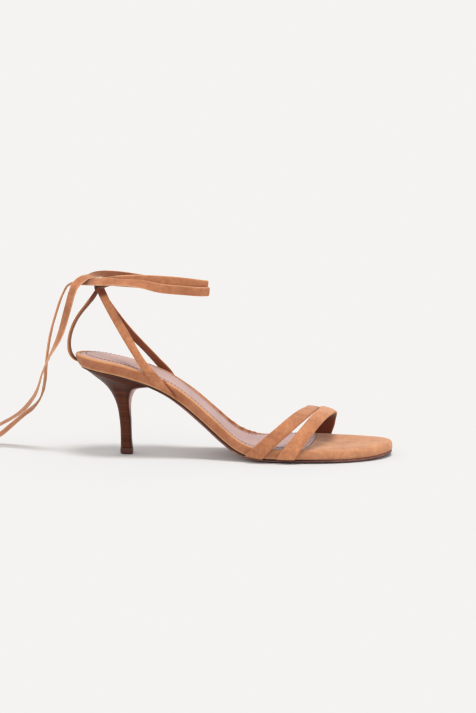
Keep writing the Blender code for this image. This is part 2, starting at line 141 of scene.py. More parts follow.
# a shape is its points, its faces and the values that its points carry for the material
def ringShape(points, capped=False, **values):
    rings, count = points.shape[:2]
    faces = ringQuads(rings, count).tolist()
    if capped:
        faces += [list(range(count))[::-1], list(range((rings - 1) * count, rings * count))]
    return dict(points=points.reshape(-1, 3), faces=faces,
                values={name: np.broadcast_to(v, points.shape[:2]).ravel() for name, v in values.items()})


# rings below, along and above a wall joined into one, and the place of the wall's own rings among them
def joined(under, wall, over):
    first = len(under) - 1
    return np.concatenate([under[:-1], wall, over[1:]]), slice(first, first + len(wall))


def onWall(points, wall, value):
    held = np.zeros(points.shape[:2])
    held[wall] = value
    return held


def makePiece(name, shapes, look, slotName, *nodes):
    points, faces, base = [], [], 0
    for shape in shapes:
        points.append(shape["points"])
        faces += [[corner + base for corner in face] for face in shape["faces"]]
        base += len(shape["points"])
    mesh = bpy.data.meshes.new(name)
    mesh.from_pydata((np.concatenate(points) - shoeMiddle) * toMetres, [], faces)
    for key in shapes[0]["values"]:
        held = mesh.attributes.new(key, "FLOAT", "POINT")
        held.data.foreach_set("value", np.concatenate([s["values"][key] for s in shapes]).astype(np.float32))
    work = bmesh.new()
    work.from_mesh(mesh)
    bmesh.ops.remove_doubles(work, verts=work.verts, dist=weldDistance)
    bmesh.ops.recalc_face_normals(work, faces=work.faces)
    work.to_mesh(mesh)
    work.free()
    mesh.shade_smooth()
    mesh.materials.append(look)
    piece = bpy.data.objects.new(name, mesh)
    bpy.context.scene.collection.objects.link(piece)
    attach(piece, "root")
    if nodes:
        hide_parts(*nodes)
    print("piece:", name, len(mesh.polygons), "faces")
    return piece


# Materials

# sRGB hex to linear
def hexColour(code):
    parts = np.array([int(code[i:i + 2], 16) for i in (1, 3, 5)]) / 255
    linear = np.where(parts <= 0.04045, parts / 12.92, ((parts + 0.055) / 1.055) ** 2.4)
    return (*linear.tolist(), 1.0)


def perMm(size):
    return 1.0 / (size * toMetres)


# adds a node with its settings and links, and gives one of its outputs
def addNode(tree, kind, inputs=None, out=0, **settings):
    node = tree.nodes.new("ShaderNode" + kind)
    for name, value in settings.items():
        setattr(node, name, value)
    for socket, value in (inputs or {}).items():
        if isinstance(value, bpy.types.NodeSocket):
            tree.links.new(value, node.inputs[socket])
        else:
            node.inputs[socket].default_value = value
    return node.outputs[out]


# a Principled material, the function that adds nodes to it and the Object coordinates that its patterns read
def newMaterial(name, **shaderInputs):
    made = bpy.data.materials.new(name)
    made.use_nodes = True
    shader = made.node_tree.nodes["Principled BSDF"]
    for socket, value in shaderInputs.items():
        shader.inputs[socket.replace("_", " ")].default_value = value
    add = partial(addNode, made.node_tree)
    return made, shader, add, add("TexCoord", out="Object")


def plug(shader, **sources):
    for socket, source in sources.items():
        shader.id_data.links.new(source, shader.inputs[socket.replace("_", " ")])


# two tones mixed by a share, then further colours laid over, each by its own share or by a value that the
# points carry. A colour Mix takes its share at 0 and its colours at 6 and 7, and gives the result at 2.
def paint(add, shader, share, dark, light, *layers):
    colour = hexColour(dark)
    for part, code in ((share, light), *layers):
        if isinstance(part, str):
            part = add("Attribute", out="Fac", attribute_name=part)
        colour = add("Mix", {0: part, 6: colour, 7: hexColour(code)}, out=2, data_type="RGBA")
    plug(shader, Base_Color=colour)


# Calf suede, buffed: a short nap that scatters light, lies in soft patches and is matt from every side.
# The nap's own fibres are about 0.1 mm, drawn here at half a millimetre and more so that they show.
# Each noise has its size in millimetres, its detail and its roughness.
suedeNap = dict(patch=(11.0, 3.0, 0.6), nap=(2.6, 5.0, 0.75), fibre=(0.5, 3.0, 0.75), pull=(6.0, 2.0, 0.5),
                patchShare=0.45, napShare=0.55)


def suede(name, light, dark, edge, lining, sheen):
    made, shader, add, place = newMaterial(
        name, Roughness=0.9, IOR=1.45, Specular_IOR_Level=0.12, Sheen_Weight=sheen, Sheen_Roughness=0.5,
        Sheen_Tint=hexColour("#ffe6d0"))
    patch, nap, fibre, pull = (
        add("TexNoise", {"Vector": place, "Scale": perMm(size), "Detail": detail, "Roughness": coarse})
        for size, detail, coarse in (suedeNap[key] for key in ("patch", "nap", "fibre", "pull")))
    patches = add("MapRange", {"Value": patch, "From Min": 0.36, "From Max": 0.64})
    naps = add("MapRange", {"Value": nap, "From Min": 0.34, "From Max": 0.66})
    share = add("Math", {0: patches, 1: suedeNap["patchShare"]}, operation="MULTIPLY")
    both = add("Math", {0: naps, 1: suedeNap["napShare"], 2: share}, operation="MULTIPLY_ADD")
    # the edge colour goes where the points carry edge, the lining colour where they carry lining; each piece
    # uses these for painted highlight and painted shade as well
    paint(add, shader, both, dark, light, ("edge", edge), ("lining", lining))
    soft = add("Bump", {"Height": pull, "Strength": 0.35, "Distance": 0.0009})
    plug(shader, Normal=add("Bump", {"Height": fibre, "Strength": 0.4, "Distance": 0.00022, "Normal": soft}))
    return made


# Lining leather, glazed: smooth and a little shiny, with a fine pebble grain.
def liningLeather(name, light, dark, litCutEdge, paleHeel, cloudMm=22.0, pebbleMm=0.9):
    made, shader, add, place = newMaterial(name, IOR=1.5, Specular_IOR_Level=0.28, Coat_Weight=0.05,
                                           Coat_Roughness=0.4)
    cloud = add("TexNoise", {"Vector": place, "Scale": perMm(cloudMm), "Detail": 4.0, "Roughness": 0.6})
    grain = add("TexVoronoi", {"Vector": place, "Scale": perMm(pebbleMm)}, feature="F1")
    share = add("MapRange", {"Value": cloud, "From Min": 0.35, "From Max": 0.65})
    # paler toward the heel, and at the cut edge a pale grey that is partly its own colour and partly painted
    # light
    paint(add, shader, share, dark, light, ("pale", paleHeel), ("edge", litCutEdge))
    plug(shader, Roughness=add("MapRange", {"Value": cloud, "To Min": 0.46, "To Max": 0.62}),
         Normal=add("Bump", {"Height": grain, "Strength": 0.25, "Distance": 0.00025}))
    return made


# Stacked heel leather, sanded and waxed: level layers of slightly different browns, a dark glue line between.
stackGrain = dict(layerMm=2.4, wobbleMm=9.0, wobble=0.35, streakMm=(14.0, 14.0, 0.55), layerShare=0.45,
                  streakShare=0.55)


def stackedLeather(name, light, dark, glueAndShade, frontReflection):
    made, shader, add, place = newMaterial(name, IOR=1.5, Specular_IOR_Level=0.2,
                                           Specular_Tint=hexColour("#e6a58f"))
    height = add("SeparateXYZ", {"Vector": place}, out="Z")
    layer = add("Math", {0: height, 1: perMm(stackGrain["layerMm"])}, operation="MULTIPLY")
    wobble = add("TexNoise", {"Vector": place, "Scale": perMm(stackGrain["wobbleMm"]), "Detail": 2.0})
    level = add("Math", {0: wobble, 1: stackGrain["wobble"], 2: layer}, operation="MULTIPLY_ADD")
    whole = add("Math", {0: level}, operation="FLOOR")
    part = add("Math", {0: level}, operation="FRACT")
    tone = add("TexWhiteNoise", {"W": whole}, noise_dimensions="1D")
    stretched = add("Mapping", {"Vector": place, "Scale": [perMm(size) for size in stackGrain["streakMm"]]})
    streak = add("TexNoise", {"Vector": stretched, "Scale": 1.0, "Detail": 4.0, "Roughness": 0.65})
    streaks = add("MapRange", {"Value": streak, "From Min": 0.3, "From Max": 0.7})
    tones = add("Math", {0: tone, 1: stackGrain["layerShare"]}, operation="MULTIPLY")
    share = add("Math", {0: streaks, 1: stackGrain["streakShare"], 2: tones}, operation="MULTIPLY_ADD")
    line = add("MapRange", {"Value": part, "From Min": 0.82, "From Max": 0.97, "To Max": 0.55})
    # the glue colour lies on the glue lines and, as painted shade, on the front corners; the front's pale
    # colour is a painted reflection
    paint(add, shader, share, dark, light, (line, glueAndShade), ("edge", glueAndShade), ("front", frontReflection))
    plug(shader, Roughness=add("MapRange", {"Value": streak, "To Min": 0.34, "To Max": 0.5}),
         Normal=add("Bump", {"Height": streak, "Strength": 0.25, "Distance": 0.0002}))
    return made


# Sole leather, dyed and burnished: close grained, low sheen, with fine scuffs along the foot.
def soleLeather(name, light, dark, burnishAndShade, cloudMm=16.0, scuffMm=(26.0, 1.2, 6.0), grainMm=0.7):
    made, shader, add, place = newMaterial(name, IOR=1.5, Specular_IOR_Level=0.18)
    cloud = add("TexNoise", {"Vector": place, "Scale": perMm(cloudMm), "Detail": 5.0, "Roughness": 0.6})
    scuffed = add("Mapping", {"Vector": place, "Scale": [perMm(size) for size in scuffMm]})
    scuff = add("TexNoise", {"Vector": scuffed, "Scale": 1.0, "Detail": 3.0})
    both = add("Math", {0: cloud, 1: scuff}, operation="MULTIPLY")
    share = add("MapRange", {"Value": both, "From Min": 0.14, "From Max": 0.38})
    # the burnished edge colour also serves as painted shade and as a painted contact shadow
    paint(add, shader, share, dark, light, ("edge", burnishAndShade))
    grain = add("TexNoise", {"Vector": place, "Scale": perMm(grainMm), "Detail": 2.0})
    plug(shader, Roughness=add("MapRange", {"Value": scuff, "To Min": 0.42, "To Max": 0.68}),
         Normal=add("Bump", {"Height": grain, "Strength": 0.2, "Distance": 0.0002}))
    return made


# Hard moulded rubber: dark, matt, with a faint mould texture.
def tipRubber(name, light, dark, mouldMm=2.5):
    made, shader, add, place = newMaterial(name, Roughness=0.62, IOR=1.52, Specular_IOR_Level=0.35)
    dust = add("TexNoise", {"Vector": place, "Scale": perMm(mouldMm), "Detail": 4.0, "Roughness": 0.7})
    paint(add, shader, dust, dark, light)
    plug(shader, Normal=add("Bump", {"Height": dust, "Strength": 0.2, "Distance": 0.0002}))
    return made


# Bonded sewing thread: two plies twisted together, a soft shine.
def sewingThread(name, light, dark, twistMm=1.6):
    made, shader, add, place = newMaterial(name, Roughness=0.6, Sheen_Weight=0.2)
    ply = add("TexWave", {"Vector": place, "Scale": perMm(twistMm), "Distortion": 1.5}, out="Fac",
              bands_direction="DIAGONAL")
    paint(add, shader, ply, dark, light)
    return made


# on the footbed the edge colour is the painted highlight on the border, and the lining colour is painted
# shade
footbedSuede = suede("suede, buffed calf, on the footbed", "#cb916c", "#a36d4c", "#c08a58", "#6b2412", 0.3)
# on the straps the lining colour is the lining's own colour, and it also carries painted shade
strapSuede = suede("suede, buffed calf, folded straps", "#ca8a62", "#9a6142", "#b27550", "#662f20", 0.4)
# on the tie the edge colour is a painted highlight along its edges, and the lining colour is painted shade:
# the tie is suede on both faces
tieSuede = suede("suede, buffed calf, cut tie", "#c3835e", "#985f41", "#ecbb96", "#55251a", 0.35)
sockLeather = liningLeather("lining leather, glazed", "#b28e8a", "#9e7b77", "#c4bdc6", "#b5928a")
heelLeather = stackedLeather("stacked leather, sanded and waxed", "#5c3123", "#371b12", "#1f0d08", "#c29c92")
treadLeather = soleLeather("sole leather, dyed and burnished", "#96685e", "#6e463e", "#1d0e0b")
tipBlack = tipRubber("hard rubber, moulded", "#54291f", "#38190f")
sockThread = sewingThread("bonded sewing thread", "#7c5c58", "#654743")
print("materials ready")

# The sole: its profile along the middle and its pattern seen from above

sole = dict(heelEnd=-2.2, toeEnd=231.5, heelRound=26.0, toeRound=58.0, toePower=2.1, toeSway=3.0,
            swayFrom=120.0, edgeLift=0.8, liftWide=0.62, liftMost=1.2, liftFrom=85.0, liftRun=40.0,
            skewFrom=60.0, seatUndercut=4.5, deep=9.4, outsoleFront=2.2, outsoleSeat=1.1, thickFrom=45.0,
            thickRun=40.0, gap=0.3, spineFrom=22.0, spineTo=34.8, sidePoints=230)

profile = columns("x z", [
    (-2, 65.9), (15, 63.1), (30, 60.1), (45, 56), (58, 51), (68, 45.6), (78, 38.3), (88, 29.7), (98, 20.7),
    (107, 12.6), (116, 6), (125, 2), (134, 0.3), (142, 0), (190, 0), (212, 0.6), (232, 2.2)])

pattern = columns("x outer inner", [
    (-2, 25.5, 25), (26, 25.6, 25), (45, 26.2, 25.2), (60, 25.6, 24.4), (80, 24.8, 22), (100, 27.2, 22.4),
    (120, 32.2, 27), (140, 36.6, 32.8), (160, 38.6, 36), (182, 38.2, 36.4), (200, 37.4, 36),
    (232, 36.5, 35.5)])


# half width on the outer side, where side is negative, or on the inner side
def halfWidth(x, side):
    return np.where(np.asarray(side) < 0, along(pattern, "outer", x), along(pattern, "inner", x))


# the toe turns to the inner side by the square of the way from the ball
def sway(x):
    start = sole["swayFrom"]
    return sole["toeSway"] * np.clip((np.asarray(x) - start) / (sole["toeEnd"] - start), 0, 1) ** 2


# a place at a depth above the underside, square to the profile; the forefoot's edges lift a little
def bed(x, y, deep):
    x, y, deep = (v.astype(float) for v in np.broadcast_arrays(x, y, deep))
    z = along(profile, "z", x)
    rate = along(profile, "z", x + 0.5) - along(profile, "z", x - 0.5)
    size = np.sqrt(1 + rate * rate)
    reach = (np.abs(y) / halfWidth(x, y) - sole["liftWide"]) / (1 - sole["liftWide"])
    front = np.clip((x - sole["liftFrom"]) / sole["liftRun"], 0, 1)
    rise = deep + sole["edgeLift"] * np.clip(reach, 0, sole["liftMost"]) ** 2 * front
    return np.stack([x - rise * rate / size, y, z + rise / size], -1)


# how far a slanted end has turned at x: the cube of the way from the waist to the end
def skewShare(x, end):
    return np.clip((x - sole["skewFrom"]) / (end - sole["skewFrom"]), 0, 1) ** 3


# the pattern as a loop: outer side from heel to toe, then back along the inner side.
# Half widths are rounded off by a circle at the heel and by a superellipse at the toe.
def outline(end=sole["toeEnd"], endRound=sole["toeRound"], endPower=sole["toePower"], skew=0.0):
    turn = np.linspace(0, math.pi, sole["sidePoints"])
    x = sole["heelEnd"] + (end - sole["heelEnd"]) * (1 - np.cos(turn)) / 2
    full = bluntEnd(x - sole["heelEnd"], sole["heelRound"], 2) * bluntEnd(end - x, endRound, endPower)
    outer = sway(x) - halfWidth(x, -1) * full
    inner = sway(x) + halfWidth(x, 1) * full
    spineX = np.clip(x, sole["heelEnd"] + sole["spineFrom"], end - sole["spineTo"])
    spineY = sway(spineX) + (halfWidth(spineX, 1) - halfWidth(spineX, -1)) / 2
    back = slice(-2, 0, -1)
    loopX = np.concatenate([x, x[back]])
    loopY = np.concatenate([outer, inner[back]])
    loop = np.stack([loopX + skew * loopY * skewShare(loopX, end), loopY], -1)
    way = unit(np.roll(loop, -1, axis=0) - np.roll(loop, 1, axis=0))
    out = np.stack([way[:, 1], -way[:, 0]], -1)
    spine = np.stack([np.concatenate([spineX, spineX[back]]), np.concatenate([spineY, spineY[back]])], -1)
    return loop, out, spine


# loops of the sole: each is pulled in by an inset, and more so behind the heel by an undercut, then moved by
# steps in millimetres and by shares of the way to the spine; depth is a function of x, y and the distance in
def soleRings(insets, undercuts, shares, depth, steps=0.0, **shape):
    loop, out, spine = outline(**shape)
    count = len(shares)
    insets, undercuts, shares, steps = (np.broadcast_to(np.asarray(v, float), count)[:, None]
                                        for v in (insets, undercuts, shares, steps))
    pull = insets + undercuts * np.clip(-out[:, 0], 0, 1) ** 2
    edge = loop - pull[..., None] * out
    flat = edge + steps[..., None] * unit(spine - edge)
    flat = flat + shares[..., None] * (spine - flat)
    inside = pull + np.linalg.norm(flat - edge, axis=-1)
    x, y = flat[..., 0], flat[..., 1]
    return bed(x, y, depth(x, y, inside))


# the outsole thickens evenly from the seat to the waist
def outsoleThick(x):
    front = np.clip((np.asarray(x) - sole["thickFrom"]) / sole["thickRun"], 0, 1)
    return sole["outsoleSeat"] + (sole["outsoleFront"] - sole["outsoleSeat"]) * front


# a side's insets and rises, spaced evenly along its profile at its real height
def sideProfile(rows, tall, count):
    even = through(np.stack([rows["inset"], tall * rows["rise"], 0 * rows["rise"]], -1), count)
    return even[:, 0], even[:, 1] / tall


# The footbed: a board in a suede cover, with a rounded side, a rolled border and a place for the sock lining.
# Pairs are where a soft step begins and ends.

footbed = dict(
    sideTall=7.0, sideRings=30, topRings=34, topSpread=1.6, underRings=6, borderIn=3.6, pocketDeep=1.6,
    pocketSide=(-0.7, -0.1), pocketFront=(-0.3, 0.9), puckerDeep=0.7, puckerStep=6.0, puckerFrom=96.0,
    puckerTo=142.0, puckerIn=3.9, puckerWide=1.3, slitWide=0.9375, slitDeep=0.7, toeDish=1.5, dishIn=(7, 24),
    dishFrom=(165, 190), dishTo=(205, 231), toeSoft=1.0, toeSoftWide=10.0)
# painted highlight and painted shade on the footbed's cover
footbedTone = dict(
    highlightRise=0.955, highlightWide=0.035, lowHighlight=0.4, lowHighlightRise=0.05, lowHighlightWide=0.07, highlightTo=(115, 160),
    seatShade=0.5, waistShade=0.42, waistFrom=(55, 110), sideShadeTop=(0.82, 0.94), sideShadeLow=(0.06, 0.2),
    sideShadeTo=(130, 185), toeShade=0.19, toeTop=(0.0, 0.6), toeFrom=(130, 185), puckerShade=0.6, puckerRings=6,
    underStrapShade=0.6, underStrapFrom=(164, 174), underStrapTo=(183, 193), underStrapInner=(-3, 9))
sock = dict(
    border=4.6, endX=177.4, endRound=9.0, power=3.0, skew=0.14, low=-1.4, edgeRear=-0.4, edgeFront=0.85,
    lip=0.45, padLow=0.5, padHeel=1.3, grooveDeep=0.3, grooveWide=0.9, paleTurns=(30, 100), stitchInset=3.7,
    stitchLong=2.3, stitchStep=3.0, stitchThick=0.42)

footbedSide = columns("rise inset", [
    (0, 0.6), (0.1, 0.2), (0.4, 0), (0.7, 0.1), (0.87, 0.55), (0.96, 1.6), (1, 3.6)])
footbedCrown = columns("inset rise", [(0, 0), (3.6, 0), (9, 0.5), (16, 0.7), (45, 0.9)])
innerBorder = columns("x rise", [
    (-5, 0), (6, -0.2), (18, -1), (42, -1.1), (52, -0.6), (62, 0), (72, 0.5), (84, 1.2), (100, 1.3),
    (112, 1.5), (122, 1.6), (130, 0.9), (138, 0.2), (146, 0), (232, 0)])
slitLine = columns("z x", [(43.5, 74.6), (47.3, 72.9), (52.4, 68.9), (60, 63.5), (62, 61.9)])


# the outer ankle strap pulls a slit open along its front edge, low on the footbed's side
def slit(points, ahead=0.7, outerSide=-15.0, foot=(42, 46), head=(58, 63)):
    x, y, z = np.moveaxis(points, -1, 0)
    onSide = (y < outerSide) * ease(z, *foot) * fade(z, *head)
    return onSide * bell(x - along(slitLine, "x", z) - ahead, 0, footbed["slitWide"])


# gathers of the cover on the inner side of the ball: a wave of uneven step, fading in and out along the edge
def puckers(x, y, run=14.0, stray=1.7, strayStep=5.1, low=0.4, outerShare=0.4):
    first, end = footbed["puckerFrom"], footbed["puckerTo"]
    wave = np.sin(2 * math.pi * x / footbed["puckerStep"] + stray * np.sin(x / strayStep)) - low
    return ease(x, first, first + run) * fade(x, end - run, end) * wave * np.where(y > 0, 1, outerShare)


# the border stands up along the inner side of the waist, highest where it leaves the side
def borderRise(x, y, inset, inner=0.8, outer=1.6):
    top = footbed["borderIn"]
    rise = np.where(y > 0, along(innerBorder, "rise", x), 0)
    return rise * bell(inset, top, np.where(inset > top, inner, outer))


# the toe's edge falls off softly, by the square of the way in from it
def toeEdge(x, inside, start=(150, 190)):
    fall = np.clip(1 - inside / footbed["toeSoftWide"], 0, 1) ** 2
    return footbed["toeSoft"] * fall * ease(x, *start)


# how far a place lies within the sock's front end: its half width there less the distance from the middle
def sockReach(x, y):
    square = x - sock["skew"] * y * skewShare(x, sock["endX"])
    toe = bluntEnd(sock["endX"] - sock["border"] - square, sock["endRound"], sock["power"])
    return (halfWidth(x, y) - sock["border"]) * toe - np.abs(y - sway(x))


def buildFootbed():
    inset, rise = sideProfile(footbedSide, footbed["sideTall"], footbed["sideRings"])

    def lowDepth(x, y, inside):
        return outsoleThick(x) + sole["gap"]

    def sideDepth(x, y, inside):
        low = lowDepth(x, y, inside)
        tall = sole["deep"] - low - toeEdge(x, inset[:, None])
        return low + rise[:, None] * tall + borderRise(x, y, inset[:, None])

    # crown and puckers, less the sock's place, the dish of the toe and its soft edge
    def topDepth(x, y, inside):
        crown = along(footbedCrown, "rise", inside)
        nearEdge = bell(inside, footbed["puckerIn"], footbed["puckerWide"])
        pucker = footbed["puckerDeep"] * puckers(x, y) * nearEdge
        place = ease(inside - sock["border"], *footbed["pocketSide"])
        place = place * ease(sockReach(x, y), *footbed["pocketFront"])
        dish = footbed["toeDish"] * ease(inside, *footbed["dishIn"])
        dish = dish * ease(x, *footbed["dishFrom"]) * fade(x, *footbed["dishTo"])
        edges = borderRise(x, y, inside) - toeEdge(x, inside)
        return sole["deep"] + crown + pucker - (footbed["pocketDeep"] + crown) * place - dish + edges

    side = soleRings(inset, sole["seatUndercut"] * (1 - rise), 0 * rise, sideDepth)
    opened = slit(side)
    side[..., 1] += footbed["slitDeep"] * opened
    share = np.linspace(0, 1, footbed["topRings"]) ** footbed["topSpread"]
    top = soleRings(footbed["borderIn"], 0.0, share, topDepth)
    under = soleRings(inset[0], sole["seatUndercut"], np.linspace(1, 0, footbed["underRings"]), lowDepth)
    points, onSide = joined(under, side, top)
    return ringShape(points, **paintedFootbedLight(points, onSide, rise, opened))


# painted highlight on the rolled border and along the lower edge; painted shade in the slit, down the side,
# between the puckers and under the front strap
def paintedFootbedLight(points, onSide, rise, opened):
    tone, onTop = footbedTone, slice(onSide.stop, None)
    x = points[onSide, :, 0]
    # painted highlight: a light line along the top of the rounded border, and a fainter one along the lower
    # edge
    light = bell(rise, tone["highlightRise"], tone["highlightWide"])
    light = light + tone["lowHighlight"] * bell(rise, tone["lowHighlightRise"], tone["lowHighlightWide"])
    highlight = onWall(points, onSide, light[:, None] * fade(x, *tone["highlightTo"]))
    # painted shade down the side: darkest at the seat, and at the toe only low down
    byPlace = tone["seatShade"] + (tone["waistShade"] - tone["seatShade"]) * ease(x, *tone["waistFrom"])
    band = fade(rise, *tone["sideShadeTop"]) * ease(rise, *tone["sideShadeLow"])
    sideShade = byPlace * band[:, None] * fade(x, *tone["sideShadeTo"])
    sideShade = sideShade + tone["toeShade"] * fade(rise, *tone["toeTop"])[:, None] * ease(x, *tone["toeFrom"])
    # painted shadow in the slit beside the strap's front edge, together with the painted shade down the side
    shade = onWall(points, onSide, np.maximum(opened, sideShade))
    # on top, painted shade between the puckers, and a painted shadow under the front strap toward its inner
    # end
    x, y = points[onTop, :, 0], points[onTop, :, 1]
    underStrap = ease(x, *tone["underStrapFrom"]) * fade(x, *tone["underStrapTo"]) * ease(y, *tone["underStrapInner"])
    between = tone["puckerShade"] * np.clip(-puckers(x, y), 0, 1)
    between[tone["puckerRings"]:] = 0
    shade[onTop] = between + tone["underStrapShade"] * underStrap
    # here the lining value carries painted shade only: the footbed has no lining
    return dict(edge=highlight, lining=shade)


makePiece("footbedCover", [buildFootbed()], footbedSuede, "footbed_suede", "footbed")

# The sock lining: a padded leather sheet with a stitched line inside its cut edge

sockForm = dict(end=sock["endX"], endRound=sock["endRound"], endPower=sock["power"], skew=sock["skew"])
stitchForm = columns("share thick", [(0, 0.25), (0.12, 0.8), (0.35, 1), (0.65, 1), (0.88, 0.8), (1, 0.25)])


# height over the footbed's border: the cut edge, then padding fullest at the heel, less the stitched groove
def sockDepth(x, y, inside, turns=(105, 155), start=20.0, run=60.0, power=1.5, rim=(-1, 4.5), field=(3, 11),
              rimShare=0.62):
    inner = inside - sock["border"]
    edge = sock["edgeRear"] + (sock["edgeFront"] - sock["edgeRear"]) * ease(x, *turns)
    pad = sock["padLow"] + sock["padHeel"] * np.clip(1 - (x - start) / run, 0, 1) ** power
    rise = rimShare * ease(inner, *rim) + (1 - rimShare) * ease(inner, *field)
    groove = sock["grooveDeep"] * bell(inner, sock["stitchInset"], sock["grooveWide"])
    return sole["deep"] + edge + pad * rise - groove


# flat rings below, a quarter round at the cut edge, then the padded top
def buildSock(underRings=4, lipRings=6, rimRings=26, fieldRings=22, rimSteps=(0.6, 7.6), cutTone=0.2):
    turn = np.linspace(0, math.pi / 2, lipRings)

    def lowDepth(x, y, inside):
        return sole["deep"] + sock["low"] + 0 * x

    def lipDepth(x, y, inside):
        return sockDepth(x, y, inside) - sock["lip"] * (1 - np.sin(turn))[:, None]

    def rings(shares, depth, steps=0.0):
        return soleRings(sock["border"], 0.0, shares, depth, steps, **sockForm)

    under = rings(np.linspace(1, 0, underRings), lowDepth)
    lip = rings(0 * turn, lipDepth, sock["lip"] * (1 - np.cos(turn)))
    steps = np.linspace(*rimSteps, rimRings)
    rim = rings(0 * steps, sockDepth, steps)
    field = rings(np.linspace(0, 1, fieldRings), sockDepth, steps[-1])
    points = np.concatenate([under, lip, rim, field[1:]])
    cut = np.zeros(len(points))
    cut[len(under) - 1] = 1
    cut[len(under):len(under) + len(lip)] = np.linspace(1, cutTone, len(lip))
    # the cut edge is pale grey: its own colour, made paler as painted light where the strap shades it; the
    # lining grows paler toward the heel
    return ringShape(points, edge=cut[:, None], pale=fade(points[..., 0], *sock["paleTurns"]))


# stitches: small capsules laid end to end along a line inside the edge, each a tapered tube
def buildStitches(sides=6, raised=0.12, arch=0.14):
    line = soleRings(sock["border"], 0.0, [0.0], sockDepth, sock["stitchInset"], **sockForm)[0]
    closed = np.concatenate([line, line[:1]])
    length = lengths(closed)
    count = int(length[-1] / sock["stitchStep"])
    share = stitchForm["share"]
    thick = stitchForm["thick"] * sock["stitchThick"] / 2
    at = (np.arange(count) * length[-1] / count)[:, None] + share * sock["stitchLong"]
    middle = np.stack([np.interp(at % length[-1], length, closed[:, axis]) for axis in range(3)], -1)
    middle[..., 2] += raised + arch * np.sin(math.pi * share)
    way = unit(np.gradient(middle, axis=1))
    side = unit(np.cross(way, (0.0, 0.0, 1.0)))
    up = np.cross(side, way)
    turn = circle(sides)
    ring = np.cos(turn)[:, None] * side[:, :, None] + np.sin(turn)[:, None] * up[:, :, None]
    points = middle[:, :, None] + thick[:, None, None] * ring
    each = len(share) * sides
    first = each * np.arange(count)[:, None, None]
    faces = (ringQuads(len(share), sides) + first).reshape(-1, 4).tolist()
    ends = np.stack([np.arange(sides)[::-1], each - sides + np.arange(sides)])
    faces += (ends + first).reshape(-1, sides).tolist()
    return dict(points=points.reshape(-1, 3), faces=faces, values={})


makePiece("sockLining", [buildSock()], sockLeather, "sock_leather", "sock_lining")
makePiece("sockStitches", [buildStitches()], sockThread, "sock_leather")

# The outsole: thin leather with a burnished edge

outsole = dict(edgeTall=2.0, rings=14, undercut=0.9, lowUndercut=0.4, seamRise=(0.4, 0.66), seamDark=0.95,
               toeSeamDark=0.25, toeSeam=(160, 190), contactShadow=0.95, contactShadowRise=(0.15, 0.42),
               contactShadowFrom=(118, 140), seatDark=0.7, seatTo=(52, 74))
outsoleEdge = columns("rise inset", [
    (0, 1.6), (0.12, 1.05), (0.35, 0.7), (0.7, 0.6), (0.92, 0.65), (1, 0.95)])


def buildOutsole():
    inset, rise = sideProfile(outsoleEdge, outsole["edgeTall"], outsole["rings"])
    undercut = sole["seatUndercut"] + outsole["undercut"] + outsole["lowUndercut"] * (1 - rise)
    side = soleRings(inset, undercut, 0 * rise, lambda x, y, inside: rise[:, None] * outsoleThick(x))
    share = np.linspace(1, 0, outsole["rings"])
    under = soleRings(inset[0], undercut[0], share, lambda x, y, inside: 0 * x)
    over = soleRings(inset[-1], undercut[-1], share[::-1], lambda x, y, inside: outsoleThick(x))
    points, wall = joined(under, side, over)
    # nearly black along the seam and all round the recessed seat: its burnished colour with painted shade in
    # these recesses; where the edge turns under, a painted contact shadow
    x = side[..., 0]
    fall = (outsole["seamDark"] - outsole["toeSeamDark"]) * ease(x, *outsole["toeSeam"])
    seam = ease(rise, *outsole["seamRise"])[:, None] * (outsole["seamDark"] - fall)
    low = fade(rise, *outsole["contactShadowRise"])[:, None]
    turned = outsole["contactShadow"] * low * ease(x, *outsole["contactShadowFrom"])
    seat = outsole["seatDark"] * fade(x, *outsole["seatTo"])
    return ringShape(points, edge=onWall(points, wall, np.maximum(np.maximum(seam, turned), seat)))


makePiece("outsoleLeather", [buildOutsole()], treadLeather, "outsole_leather", "outsole")

# The heel: stacked layers, waisted, round behind and flat in front

heel = dict(tipTall=5.0, roundShare=0.52, corner=0.12, cornerPower=2.5, sidePoints=40, stemLevels=110,
            seatLevels=41, seatFrom=0.9, seatPower=12, capRings=6, lineDeep=0.07, lineAt=0.9, lineWide=0.12,
            leastHalf=3.0, frontDark=0.6, darkShare=(0.72, 0.95), frontReflection=(0.915, 0.96),
            frontReflectionRise=(0.45, 0.7))
heelTable = columns("rise back front half", [
    (0, 32.6, 41.3, 4.6), (0.2, 32.4, 40.7, 4.6), (0.42, 31.2, 40.5, 5), (0.53, 29.8, 40.3, 5.6),
    (0.63, 27.5, 40.3, 6.8), (0.75, 23, 40.7, 9.4), (0.83, 18.2, 41.8, 12), (0.89, 13.6, 43.2, 14.9),
    (0.94, 9.9, 45.2, 18.4), (0.975, 7.2, 49, 21.6), (1, 5.2, 57.5, 23.8)])
tipTable = columns("z grow", [
    (0, -0.15), (0.15, 0.1), (0.5, 0.3), (2.4, 0.34), (4.3, 0.3), (4.6, 0.2), (4.7, -0.05)])


# a section's loop: half a circle behind, straight sides, a flat front with soft corners
def heelLoop(back, front, half):
    share = (1 - np.cos(np.linspace(0, math.pi, heel["sidePoints"]))) / 2
    full = bluntEnd(share, heel["roundShare"], 2) * bluntEnd(1 - share, heel["corner"], heel["cornerPower"])
    side = half[:, None] * full
    x = back[:, None] + (front - back)[:, None] * share
    return np.concatenate([x, x[:, -2:0:-1]], 1), np.concatenate([-side, side[:, -2:0:-1]], 1)


